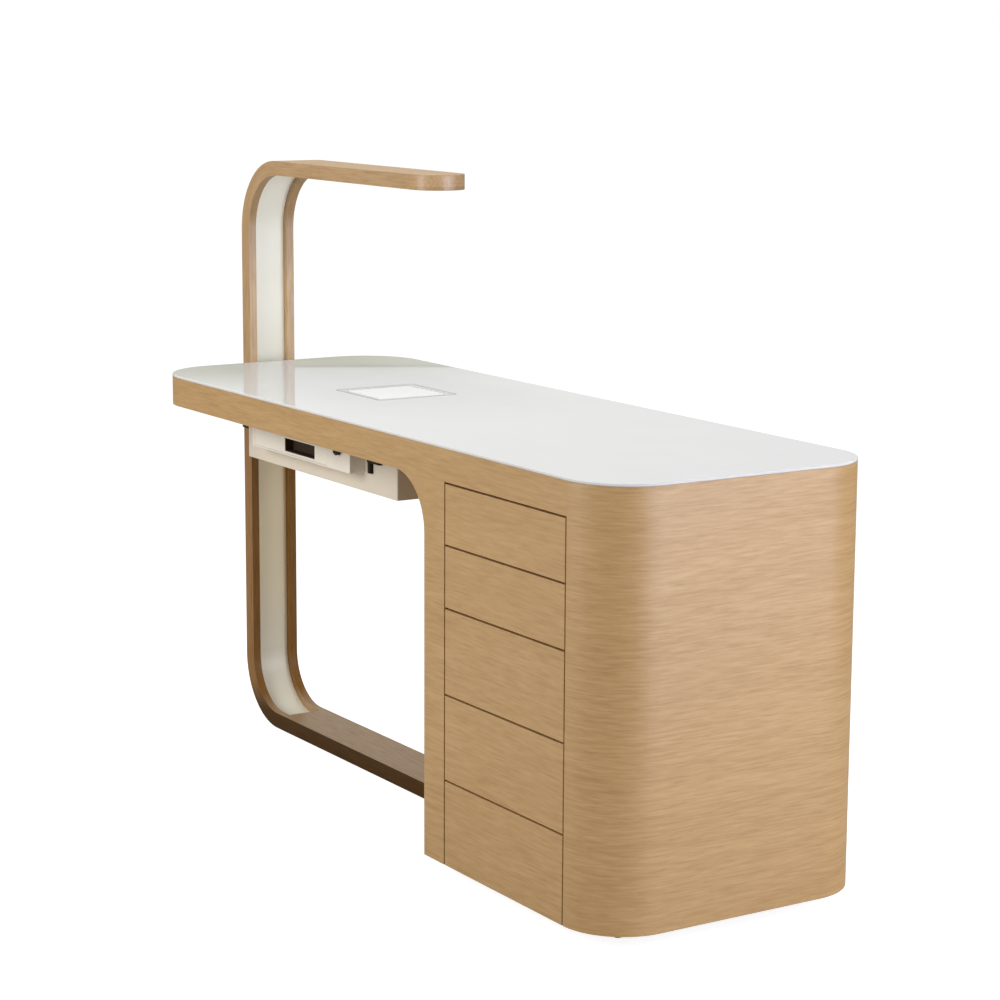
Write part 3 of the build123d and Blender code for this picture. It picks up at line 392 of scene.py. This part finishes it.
# ---- floor ----
FLOOR_SEEN = (0.50, 0.50, 0.50)
FLOOR_BOUNCE = (0.42, 0.37, 0.31)
FLOOR_MIRRORED = (0.60, 0.56, 0.50)
FLOOR_LIFT = 0.86
bpy.ops.mesh.primitive_plane_add(size=2000.0, location=(0, 0, 0))
floor = bpy.context.object
floor.name = "floor"
pale = Shader("floor_pale")
seen = pale.light_path("Is Camera Ray")
unmirrored = pale.mix(seen, FLOOR_BOUNCE, FLOOR_SEEN)
pale_tone = pale.mix(pale.light_path("Is Glossy Ray"), unmirrored, FLOOR_MIRRORED)
pale.set(
    Base_Color=pale_tone,
    Emission_Color=grey(1.0),
    Emission_Strength=pale.math("MULTIPLY", seen, FLOOR_LIFT),
    Roughness=1.0,
    Specular_IOR_Level=0.0,
)
floor.data.materials.append(pale.material)

# ---- light ----
SKY_FILL = grey(0.37)
HORIZON_LOW = 0.12
HORIZON_HIGH = 0.14
HORIZON_BAND = (
    (0.320, (0.48, 0.49, 0.30)),
    (0.335, (0.25, 0.25, 0.17)),
    (0.355, (0.25, 0.25, 0.17)),
    (0.375, (0.82, 0.82, 0.78)),
    (0.650, grey(0.98)),
)
LEFT_FADE = ((0.45, (0.42, 0.43, 0.30)), (0.90, grey(0.98)))
LEFT_FROM = -0.8785
world = bpy.data.worlds.new("studio")
scene.world = world
world.use_nodes = True
sky = Nodes(world.node_tree, "Generated")
sky_x, _, sky_z = sky.split(sky.place)
leftwards = sky.math("LESS_THAN", sky_x, LEFT_FROM)
height = sky.span(sky_z, HORIZON_LOW, HORIZON_HIGH)
mirrored_sky = sky.mix(leftwards, sky.ramp(height, *HORIZON_BAND), sky.ramp(height, *LEFT_FADE))
lighting_sky = sky.mix(sky.light_path("Is Glossy Ray"), SKY_FILL, mirrored_sky)
background = world.node_tree.nodes["Background"]
sky.feed(background.inputs["Color"], sky.mix(sky.light_path("Is Camera Ray"), lighting_sky, grey(1.0)))
background.inputs["Strength"].default_value = 1.0


def softbox(name, place, target, size, power, colour=(1.0, 1.0, 1.0)):
    light = bpy.data.lights.new(name, "AREA")
    light.shape = "RECTANGLE"
    light.size, light.size_y = size
    light.energy = power
    light.color = colour
    lamp = bpy.data.objects.new(name, light)
    scene.collection.objects.link(lamp)
    lamp.visible_camera = False
    lamp.location = place
    lamp.rotation_euler = (Vector(target) - Vector(place)).to_track_quat("-Z", "Y").to_euler()


softbox("right_panel", (3.0, 0.9, 0.9), (0.8, 0.0, 0.5), (2.4, 1.7), 57.0, (0.95, 0.98, 1.12))
softbox("front_high", (-0.3, -3.0, 1.9), (0.1, -0.2, 0.5), (2.2, 1.6), 53.0)
softbox("front_low", (-0.9, -2.9, 0.7), (0.1, -0.2, 0.4), (1.6, 1.2), 10.0)
softbox("top", (0.0, 0.0, 3.2), (0.0, 0.0, 0.5), (2.6, 2.0), 35.0)

# ---- camera ----
CAMERA_PLACE = Vector((4.0038, -2.4815, 1.4290))
CAMERA_YAW = radians(147.6243)
CAMERA_PITCH = radians(-10.2040)
CAMERA_ROLL = radians(0.2947)
camera = bpy.data.cameras.new("camera")
camera.sensor_width = 36.0
camera.lens = 94.616
camera_object = bpy.data.objects.new("camera", camera)
scene.collection.objects.link(camera_object)
ahead = Matrix.Rotation(CAMERA_YAW, 3, "Z") @ Matrix.Rotation(-CAMERA_PITCH, 3, "Y") @ Vector((1, 0, 0))
right = ahead.cross(Vector((0, 0, 1))).normalized()
above = right.cross(ahead)
roll = Matrix.Rotation(-CAMERA_ROLL, 3, ahead)
right, above = roll @ right, roll @ above
camera_object.matrix_world = Matrix((
    (right.x, above.x, -ahead.x, CAMERA_PLACE.x),
    (right.y, above.y, -ahead.y, CAMERA_PLACE.y),
    (right.z, above.z, -ahead.z, CAMERA_PLACE.z),
    (0, 0, 0, 1),
))
scene.camera = camera_object
scene.view_settings.view_transform = "Standard"
scene.view_settings.look = "None"
